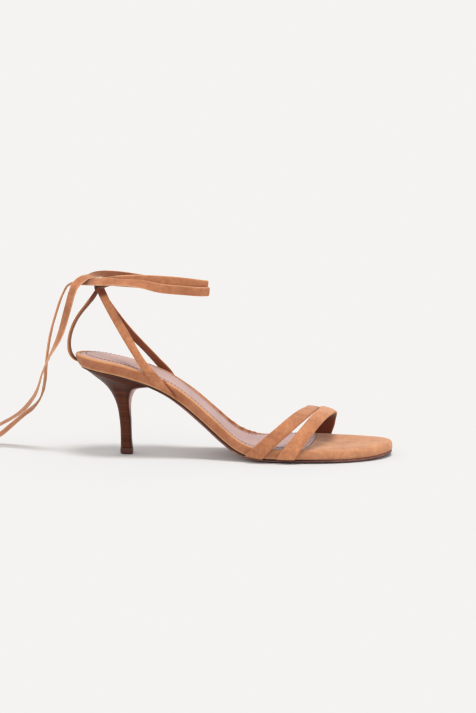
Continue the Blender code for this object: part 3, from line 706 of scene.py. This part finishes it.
# the sections stand one on another up to the seat, with a fine groove at each glue line
def buildHeel():
    stem = np.linspace(0, heel["seatFrom"], heel["stemLevels"])
    rise = np.concatenate([stem, np.linspace(heel["seatFrom"], 1, heel["seatLevels"])[1:]])
    x, y = heelLoop(*(along(heelTable, name, rise) for name in ("back", "front", "half")))
    seat = bed(x[-1], y[-1], -sole["gap"])
    z = heel["tipTall"] + rise[:, None] * (seat[:, 2] - heel["tipTall"])
    x = x + rise[:, None] ** heel["seatPower"] * (seat[:, 0] - x[-1])
    middle = ((x.min(1) + x.max(1)) / 2)[:, None]
    line = bell((z / stackGrain["layerMm"]) % 1.0, heel["lineAt"], heel["lineWide"])
    shrink = 1 - heel["lineDeep"] * line / np.maximum(np.abs(y).max(1), heel["leastHalf"])[:, None]
    points = np.stack([middle + (x - middle) * shrink, y * shrink, z], -1)
    centre = np.stack([x, 0 * y, z], -1)
    inward = np.linspace(0, 1, heel["capRings"])[:, None, None]
    lower = points[0] + inward[::-1] * (centre[0] - points[0])
    upper = points[-1] + inward * (centre[-1] - points[-1])
    whole, wall = joined(lower, points, upper)
    share = (x - x.min(1)[:, None]) / np.ptp(x, axis=1)[:, None]
    # painted shade on the front corners, in the glue line's colour
    corner = heel["frontDark"] * ease(share, *heel["darkShare"])
    # a painted reflection on the flat front, fading down the stem
    front = ease(share, *heel["frontReflection"]) * ease(rise, *heel["frontReflectionRise"])[:, None]
    return ringShape(whole, edge=onWall(whole, wall, corner), front=onWall(whole, wall, front))


# the heel's lowest section, grown a little and closed by its own middle line
def buildTip():
    grow = tipTable["grow"]
    x, y = heelLoop(heelTable["back"][0] - grow, heelTable["front"][0] + grow, heelTable["half"][0] + grow)
    points = np.stack([x, y, tipTable["z"][:, None] + 0 * x], -1)
    centre = points * np.array([1.0, 0.0, 1.0])
    return ringShape(np.concatenate([centre[:1], points, centre[-1:]]))


makePiece("heelStack", [buildHeel()], heelLeather, "stacked_leather", "heel")
makePiece("heelTopPiece", [buildTip()], tipBlack, "tip_rubber", "heel_tip")

# Straps: folded suede, plump, with a leather lining on the inside

strapLook = dict(power=2.6, around=40, turnIn=0.6, outerFace=(0.1, 0.45), innerFace=(0.12, 0.36),
                 edgeLight=0.5, edgeWide=0.9)


# a strap's section is a superellipse; it is carried along a middle line with its width as vectors.
# outSign says on which side of that sheet the outer face lies, and relief moves that face in or out.
# Shade is painted shade all round the strap, where it lies gathered into the dark at the loop or turned from
# the light.
def strapShape(middle, across, thick, outSign, liningShare=1.0, relief=None, shade=0.0):
    face = outSign * unit(np.cross(np.gradient(middle, axis=0), across))
    half = math.pi / strapLook["around"]
    turn = circle(strapLook["around"]) + half
    wide = signedPower(np.cos(turn), 2 / strapLook["power"]) / 2
    deep = signedPower(np.sin(turn), 2 / strapLook["power"]) / 2
    lift = deep * np.broadcast_to(thick, len(middle))[:, None]
    if relief is not None:
        lift = lift + ease(deep, *strapLook["outerFace"]) * relief(lengths(middle)[:, None], wide)
    points = middle[:, None] + wide[:, None] * across[:, None] + lift[..., None] * face[:, None]
    toEdge = (0.5 - np.abs(wide)) * np.linalg.norm(across, axis=1)[:, None]
    liningShare, shade = (np.broadcast_to(v, len(middle))[:, None] for v in (liningShare, shade))
    lining = liningShare * ease(-deep, *strapLook["innerFace"]) * ease(toEdge, 0.0, strapLook["turnIn"])
    # near both edges the colour turns halfway to the material's edge colour, a painted highlight on the tie;
    # the lining value holds the lining and the painted shade
    edge = strapLook["edgeLight"] * fade(toEdge, 0.0, strapLook["edgeWide"])
    return ringShape(points, capped=True, edge=edge, lining=np.maximum(lining, shade))


# gentle unevenness of folded suede: two slow waves along the strap, out of step across it
def slack(high, step, shift, lean=2.2, share=0.6, stepShare=0.43, counterLean=3.1):
    def height(length, wide):
        turn = 2 * math.pi * length / step
        counter = np.sin(turn / stepShare + 2 * shift - counterLean * wide)
        return high * (np.sin(turn + shift + lean * wide) + share * counter)
    return height


lastTable = columns("x height", [
    (110, 45), (120, 42), (150, 34.2), (172, 28.8), (180, 27), (190, 23.4), (205, 19.6)])
last = dict(power=2.4, sway=4.0, wallGap=0.5, stations=170)

# the vamp straps by their rear and front edges, at angles round the last from the outer side
rearStrap = columns("angle rear front lift thick", [
    (0, 124.8, 137.2, 0, 2), (10, 132.2, 145.4, 0, 2.6), (32, 146.3, 158.5, 0, 2.8),
    (65, 160.1, 170.8, 0, 2.8), (90, 167.4, 175.9, 0, 2.6), (120, 173.7, 181, 0.2, 2.2),
    (150, 177.5, 185, 0.3, 1.8), (170, 178.5, 185.5, 0.4, 1.4)])
frontStrap = columns("angle rear front lift thick", [
    (0, 147.1, 160.2, 0, 2), (10, 152.3, 165, 0, 2.6), (33, 162.2, 173.4, 0, 2.8),
    (66, 172, 182.7, 0.5, 2.9), (90, 176.9, 187.5, 0.9, 2.9), (120, 178.3, 190.4, 0.8, 2.9),
    (150, 175, 189.6, 0.3, 2.7), (180, 173.6, 186, 0, 2)])


# the last under the vamp: half a superellipse over the sole's own half widths, leaning to the inner side
def lastPlace(x, angle):
    turn = np.radians(angle)
    side = signedPower(np.cos(turn), 2 / last["power"])
    rise = np.clip(np.sin(turn), 0, 1) ** (2 / last["power"])
    toe = bluntEnd(sole["toeEnd"] - x, sole["toeRound"], sole["toePower"])
    half = halfWidth(x, -side) * toe + last["wallGap"]
    base = bed(x, sway(x) - half * np.sign(side), outsoleThick(x) + sole["gap"])
    y = sway(x) - half * side + last["sway"] * rise ** 2
    return np.stack([x, y, base[:, 2] + along(lastTable, "height", x) * rise], -1)


# a vamp strap lies on the last between its two edges, raised by its lift and half its thickness
def vampStrap(rows, relief, shade):
    angle = np.linspace(rows["angle"][0], rows["angle"][-1], last["stations"])
    rear, front, lift, thick = (along(rows, name, angle) for name in ("rear", "front", "lift", "thick"))
    x = (rear + front) / 2
    across = lastPlace(front, angle) - lastPlace(rear, angle)
    over = lastPlace(x, np.clip(angle + 1, 0, 180)) - lastPlace(x, np.clip(angle - 1, 0, 180))
    middle = lastPlace(x, angle) + unit(np.cross(across, over)) * (lift + thick / 2)[:, None]
    return strapShape(middle, across, thick, -1, 1.0, relief, shade)


# the rear strap carries painted shade all along
makePiece("vampStraps", [vampStrap(rearStrap, slack(high=0.1, step=31, shift=0.4), shade=0.17),
                         vampStrap(frontStrap, slack(high=0.1, step=27, shift=1.9), shade=0.0)],
          strapSuede, "strap_suede", "vamp_straps")

# The ankle straps: outer and inner by their edges, the back one by its middle, joined at the tie's loop

ankle = dict(stations=130, loopX=17.3, loopZ=123.8, loopLong=6.2, loopTall=10.6, loopWall=1.9, loopWide=6.0,
             loopShade=0.95, gatherShade=0.95, gathering=(4.5, 9.0), rimFold=15.0, foldDeep=0.55, lowFade=2.0)

outerStrap = columns("rearX rearZ frontX frontZ rearY frontY thick", [
    (59, 53.9, 73, 47.3, -25.2, -25, 1.3), (55.6, 58.8, 68.8, 52.4, -25.5, -25.4, 1.4),
    (51.4, 64, 63.4, 60, -25.8, -25.6, 1.7), (46.3, 71.5, 54.8, 69.6, -24.2, -24.2, 2.4),
    (32.1, 92.8, 39.1, 93.4, -15.2, -15.2, 2.4), (21.5, 110.3, 27.5, 111.3, -8.4, -8.4, 2.4),
    (17.7, 117.4, 23.8, 118.4, -5.6, -5.6, 2.2), (16.2, 121.6, 22, 122.2, -4.8, -4.8, 1.8)])
innerStrap = columns("rearX rearZ frontX frontZ rearY frontY thick", [
    (63, 51.9, 77, 43.4, 25.5, 23.7, 1.8), (60.6, 56.4, 73.4, 49.6, 25.8, 24.3, 2),
    (58, 60.4, 69.6, 56.2, 25.6, 24.6, 2.2), (51.2, 68.9, 59.8, 67.3, 22.8, 22.6, 2.4),
    (31, 92.2, 37.8, 92.9, 14, 14, 2.4), (20, 109.9, 25.6, 110.7, 7.6, 7.6, 2.4),
    (15.8, 118.4, 20.6, 119.4, 2.6, 2.6, 2.2)])
backStrap = columns("x z wide thick turn", [
    (2.8, 68.2, 6.4, 1.4, 9), (0, 69.5, 6.6, 1.6, 9), (-2.2, 71.7, 6.6, 2, 9), (-3.9, 75.2, 6.6, 2.2, 9),
    (-4.5, 80.8, 6.6, 2.2, 9), (-3.7, 87.2, 6.6, 2.2, 9), (-1.5, 93.7, 6.6, 2.2, 10),
    (1.5, 99.6, 6.6, 2.2, 13), (5.1, 104.8, 6.6, 2.2, 18), (9.3, 109.9, 6.6, 2.2, 24),
    (13, 114.6, 6.4, 2.2, 27), (16, 119.3, 5.4, 1.8, 27)])


# painted shade over each strap's last millimetres, where it is gathered into the dark at the loop
def gatheredShade(middle):
    return ankle["gatherShade"] * fade(np.linalg.norm(middle - middle[-1], axis=1), *ankle["gathering"])


# a strap between a rear edge and a front edge, from the sole up to the loop
def edgeStrap(rows, outSign, relief, liningShare, shade, lowShade):
    rear, front = stacked(rows, "rearX rearY rearZ"), stacked(rows, "frontX frontY frontZ")
    edges = np.concatenate([(rear + front) / 2, front - rear, rows["thick"][:, None]], 1)
    even = through(edges, ankle["stations"])
    middle = even[:, :3]
    fromStart = np.linalg.norm(middle - middle[0], axis=1)
    # painted shade below the fold over the footbed's edge, where the strap turns down from the light, and any
    # painted shade given for the whole strap
    low = lowShade * fade(fromStart, ankle["rimFold"], ankle["rimFold"] + ankle["lowFade"])
    shade = np.maximum(np.maximum(gatheredShade(middle), low), shade)
    return strapShape(middle, even[:, 3:6], even[:, 6], outSign, liningShare, relief, shade)


# the back strap follows its middle line, with its width turned in plan by an angle
def heelStrap(relief):
    even = through(np.insert(stacked(backStrap, "x z wide thick turn"), 1, 0.0, axis=1), ankle["stations"])
    turn = np.radians(even[:, 5])
    across = even[:, 3:4] * np.stack([np.sin(turn), np.cos(turn), 0 * turn], -1)
    return strapShape(even[:, :3], across, even[:, 4], 1, 1.0, relief, gatheredShade(even[:, :3]))


# the loop that the tie goes through: a flat ring on its edge, a rounded oblong carried round a superellipse
def tieLoop(count=72, sides=24, power=0.7, sidePower=0.75):
    turn, around = circle(count)[:, None], circle(sides)
    x, z = signedPower(np.cos(turn), power), signedPower(np.sin(turn), power)
    wall = ankle["loopWall"] / 2
    deep = signedPower(np.cos(around), sidePower) * wall - wall
    wide = signedPower(np.sin(around), sidePower) * ankle["loopWide"] / 2
    points = np.stack([ankle["loopX"] + (ankle["loopLong"] / 2 + deep) * x, wide + 0 * x,
                       ankle["loopZ"] + (ankle["loopTall"] / 2 + deep) * z], -1)
    # the loop is painted dark all over: painted shade, as it sits in the gather
    return ringShape(np.concatenate([points, points[:1]]), edge=0.0, lining=ankle["loopShade"])


# the outer strap folds over the footbed's edge: a slanting trough with a low ridge beyond it
def outerRelief(length, wide, slant=2.5, narrow=0.9, beyond=2.2, high=0.22, broad=1.4):
    fold = ankle["rimFold"] + slant * wide
    folded = high * bell(length, fold + beyond, broad) - ankle["foldDeep"] * bell(length, fold, narrow)
    return folded + slack(high=0.08, step=29, shift=0.8)(length, wide)


# the outer strap carries painted shade all along and below its fold
makePiece("ankleStraps", [
    edgeStrap(outerStrap, -1, outerRelief, liningShare=1.0, shade=0.15, lowShade=0.26),
    edgeStrap(innerStrap, 1, slack(high=0.08, step=33, shift=2.1), liningShare=0.84, shade=0.0, lowShade=0.0),
    heelStrap(slack(high=0.07, step=24, shift=0.3)), tieLoop()], strapSuede, "strap_suede", "ankle_straps")

# The tie: one flat suede lace, twice round the ankle and through the loop, with two free ends

tie = dict(wide=6.8, thick=1.6, wrapStations=640, tailStations=260, tuck=1.4, tuckThick=(0.8, 0.92),
           tuckWide=0.94, turnOver=26.0, innerShadeFrom=(20.0, 31.0), liningShare=0.63,
           outerHang=(-0.77, 0.56, 0.31), innerHang=(0.12, 1.0, 0.14))

# the dark column is painted shade: where the lace crosses in the loop, passes behind the crossing band and
# turns away inside the loop
wrapRoute = columns("x y z tilt dark", [
    (-1, -11.4, 118.4, 38, 0), (1.5, -11.2, 124.2, 40, 0), (4.2, -9.4, 127.2, 52, 0),
    (7, -5.4, 129.2, 70, 0), (11.5, 2, 130, 72, 0), (16.3, 9, 130.7, 57, 0), (25, 14, 129.6, 20, 0),
    (34, 15.6, 128.6, 4, 0), (45, 15.8, 127, 0, 0), (60, 13.2, 125.3, 0, 0), (80, 7, 124.7, 0, 0),
    (92, 2.7, 124.2, 8, 0), (96.2, 0, 123.9, 8, 0), (92, -3.2, 124.8, 8, 0.08), (81.6, -7, 126.5, 0, 0.1),
    (67, -10.9, 128.2, 0, 0.04), (49, -13.6, 129.2, 0, 0), (34, -12.8, 128.6, 0, 0.05),
    (24, -9.4, 127, 0, 0.7), (18.6, -5, 124.8, 0, 0.9), (17, 0, 123.8, 0, 0.9), (18.4, 5.2, 123.8, 12, 0.9),
    (22.6, 11.8, 124, 54, 0.5), (29, 17.8, 123.8, 34, 0), (40, 20.2, 123.2, 8, 0), (60, 17, 121.4, 0, 0),
    (80, 9.9, 119.8, 0, 0), (91.8, 4.8, 119.3, 6, 0), (97.2, 0, 119.2, 6, 0), (92, -4.9, 119.5, 6, 0.08),
    (79, -9.4, 120.9, 0, 0.2), (63, -13.8, 122.9, -8, 0.06), (48, -16.8, 126.4, -38, 0),
    (34, -17.6, 127.5, -52, 0.12), (24, -15, 127.8, -38, 0.07), (16.3, -9.8, 127, -44, 0.12),
    (10.5, -3.8, 126.5, -44, 0.45), (5, 2.2, 125, -70, 0.5), (-0.2, 6.4, 124.2, -78, 0.42)])

# their dark column is painted shade where the ends lie in each other's shadow and under the wrap, with a
# slight darkening all along
outerTail = columns("x y z flat roll dark", [
    (-1.16, -11.41, 118, 0, 0, 0.04), (-4.2, -11, 107, 0.04, 0, 0.27), (-10.2, -8, 88.1, 0.22, 0, 0.04),
    (-19.6, 0, 70.1, 0.58, 8, 0.04), (-24.6, 3.5, 59.3, 0.8, 26, 0.16), (-30.4, 7.5, 43.2, 1, 48, 0.26),
    (-38.4, 13, 32, 1, 45, 0.3), (-48.5, 18.5, 23.5, 1, 24, 0.34), (-59.4, 22, 17, 1, 18, 0.36),
    (-72, 25, 9.6, 1, 10, 0.2), (-84, 27.5, 4, 1, 3, 0.1), (-96, 29.5, 1.6, 1, 0, 0.1),
    (-120, 33, 1.2, 1, 0, 0.1), (-150, 36, 1.2, 1, 0, 0.1)])
innerTail = columns("x y z flat roll dark", [
    (-0.9, 6.95, 124.06, 0, 0, 0.5), (-3.5, 8.6, 123.8, 0, 0, 0.45), (-6.4, 9.6, 122.2, 0, 0, 0.34),
    (-9, 10, 117.8, 0, 0, 0.16), (-12, 10, 111.2, 0, 0, 0.03), (-14.2, 10, 104.6, 0, 0, 0),
    (-19.4, 9.6, 86.2, 0, 0, 0), (-22.6, 10, 66, 0, 0, 0), (-24.5, 12.5, 49.4, 0.15, 20, 0.05),
    (-26.5, 14.5, 41.6, 0.4, 35, 0.25), (-29.8, 17, 35.4, 0.65, 40, 0.4), (-34.3, 20, 30.2, 0.85, 42, 0.36),
    (-39.9, 23, 25.7, 1, 36, 0.28), (-51.8, 28.5, 15.4, 1, 39, 0.14), (-61.1, 32, 7.7, 1, 35, 0.18),
    (-70, 36, 3.4, 1, 12, 0.1), (-80, 41, 1.8, 1, 0, 0.1), (-112, 58, 1.2, 1, 0, 0.1),
    (-148, 76, 1.2, 1, 0, 0.1)])


# the tie's width as vectors: square to its run, as near as can be to the way hinted at
def tieAcross(hint, run):
    return tie["wide"] * unit(hint - np.sum(hint * run, 1, keepdims=True) * run)


# the tie stands upright on its edge round the ankle, turned by its tilt where it crosses the loop;
# near its outer end it runs almost upright, and there its width turns evenly from the tail's own
def buildWrap():
    even = through(stacked(wrapRoute, "x y z tilt dark"), tie["wrapStations"])
    middle = even[:, :3]
    run = unit(np.gradient(middle, axis=0))
    up = unit(np.array([0.0, 0.0, 1.0]) - run[:, 2:3] * run)
    tilt = np.radians(even[:, 3:4])
    length = lengths(middle)
    turned = ease(length, 0, tie["turnOver"])[:, None]
    upright = np.cos(tilt) * up + np.sin(tilt) * np.cross(up, run)
    across = tieAcross((1 - turned) * np.array(tie["outerHang"]) + turned * upright, run)
    # on the inner face the lining colour is painted shade, growing in from the start; the dark column adds
    # painted shade along the way
    lining = tie["liningShare"] * ease(length, *tie["innerShadeFrom"])
    return strapShape(middle, across, tie["thick"], -1, lining, slack(high=0.07, step=21, shift=0.6),
                      np.clip(even[:, 4], 0, 1))


# a free end: its width starts along hang and turns level, rolled by an angle, as it lies down; its first
# millimetres are tucked into the wrap, drawn a little thinner there
def buildTail(rows, hang):
    even = through(stacked(rows, "x y z flat roll dark"), tie["tailStations"])
    middle = even[:, :3]
    run = unit(np.gradient(middle, axis=0))
    level = unit(np.cross(run, (0.0, 0.0, 1.0)))
    share, roll = np.clip(even[:, 3:4], 0, 1), np.radians(even[:, 4:5])
    rolled = np.cos(roll) * level + np.sin(roll) * np.cross(level, run)
    across = tieAcross((1 - share) * np.array(hang) + share * rolled, run)
    drawn = np.concatenate([middle[:1] - tie["tuck"] * run[:1], middle])
    across = np.concatenate([tie["tuckWide"] * across[:1], across])
    thick = np.full(len(drawn), tie["thick"])
    thick[:2] *= tie["tuckThick"]
    # painted shade from the dark column
    shade = np.clip(np.concatenate([even[:1, 5], even[:, 5]]), 0, 1)
    return strapShape(drawn, across, thick, 1, 0.0, slack(high=0.06, step=26, shift=1.2), shade), middle


makePiece("tieWrap", [buildWrap()], tieSuede, "tie_suede", "tie_wrap")

for tailName, node, rows, hang in (
        ("tieEndOuter", "tie_tail_outer", outerTail, tie["outerHang"]),
        ("tieEndInner", "tie_tail_inner", innerTail, tie["innerHang"])):
    tailShape, middle = buildTail(rows, hang)
    tail = makePiece(tailName, [tailShape], tieSuede, "tie_suede", node)

# Floor, light and camera

studio = dict(paper="#d8d8d8", paperLight="#dadada", paperCloud=3.0, floorReach=60.0, floorDrop=0.00005,
              skyStops=((0.0, 1.4), (0.07, 1.4), (0.16, 1.5), (0.5, 1.5), (0.86, 0.3)),
              skyTint=(1.0, 0.991, 0.973), keyPower=2.0, keyAngle=20.0, keyFrom=(0.1, -0.14, 1.0),
              keyTint=(1.0, 0.985, 0.96), knee=0.84, white=(0.905, 0.896, 0.880))


# Paper sweep, matt: a plain pale sheet whose tone hardly changes
def buildFloor():
    reach, low = studio["floorReach"], -studio["floorDrop"]
    mesh = bpy.data.meshes.new("studioFloor")
    corners = [(x * reach, y * reach, low) for x, y in ((-1, -1), (1, -1), (1, 1), (-1, 1))]
    mesh.from_pydata(corners, [], [(0, 1, 2, 3)])
    paper, shader, add, place = newMaterial("paper sweep, matt", Roughness=0.95, Specular_IOR_Level=0.1)
    tooth = add("TexNoise", {"Vector": place, "Scale": studio["paperCloud"], "Detail": 2.0})
    paint(add, shader, tooth, studio["paper"], studio["paperLight"])
    mesh.materials.append(paper)
    floor = bpy.data.objects.new("studioFloor", mesh)
    bpy.context.scene.collection.objects.link(floor)


# a sky that is bright low down and all round, and one wide soft light from above
def buildLight():
    world = bpy.data.worlds.new("studio")
    world.use_nodes = True
    bpy.context.scene.world = world
    add = partial(addNode, world.node_tree)
    height = add("SeparateXYZ", {"Vector": add("TexCoord", out="Generated")}, out="Z")
    ramp = add("ValToRGB", {"Fac": height})
    stops = ramp.node.color_ramp.elements
    for position, bright in studio["skyStops"]:
        stop = stops[0] if position == 0.0 else stops.new(position)
        stop.color = (*(bright * part for part in studio["skyTint"]), 1.0)
    stops.remove(stops[-1])
    plug(world.node_tree.nodes["Background"], Color=ramp)
    key = bpy.data.lights.new("softbox", "SUN")
    key.energy = studio["keyPower"]
    key.angle = math.radians(studio["keyAngle"])
    key.color = studio["keyTint"]
    lamp = bpy.data.objects.new("softbox", key)
    lamp.rotation_euler = Vector(studio["keyFrom"]).to_track_quat("Z", "Y").to_euler()
    bpy.context.scene.collection.objects.link(lamp)


photoCamera = dict(azimuth=2.0, elevation=8.0, distance=1.49, focusPixels=2052.0, tallPixels=713.0,
                   sensorMm=36.0, farEnd=120.0, aim=(0.00565, 0.00055, 0.0719))


def buildCamera():
    turn, tip = math.radians(photoCamera["azimuth"]), math.radians(photoCamera["elevation"])
    back = Vector((math.sin(turn) * math.cos(tip), -math.cos(turn) * math.cos(tip), math.sin(tip)))
    lens = bpy.data.cameras.new("photoCamera")
    lens.sensor_width = photoCamera["sensorMm"]
    lens.lens = photoCamera["focusPixels"] * lens.sensor_width / photoCamera["tallPixels"]
    lens.clip_end = photoCamera["farEnd"]
    camera = bpy.data.objects.new("photoCamera", lens)
    camera.location = Vector(photoCamera["aim"]) + back * photoCamera["distance"]
    camera.rotation_euler = back.to_track_quat("Z", "Y").to_euler()
    bpy.context.scene.collection.objects.link(camera)
    bpy.context.scene.camera = camera


# the paper is lit past white, as in the photo: the print's scale bends at a knee and ends at the paper's tone
def setPrint():
    view = bpy.context.scene.view_settings
    view.view_transform = "Standard"
    view.use_curve_mapping = True
    curves = view.curve_mapping
    for curve, white in zip(curves.curves, studio["white"]):
        curve.points[0].location = (0.0, 0.0)
        curve.points[-1].location = (1.0, white)
        curve.points.new(studio["knee"], studio["knee"])
        for point in curve.points:
            point.handle_type = "VECTOR"
    curves.extend = "HORIZONTAL"
    curves.update()


buildFloor()
buildLight()
buildCamera()
setPrint()
print("studio and camera ready")
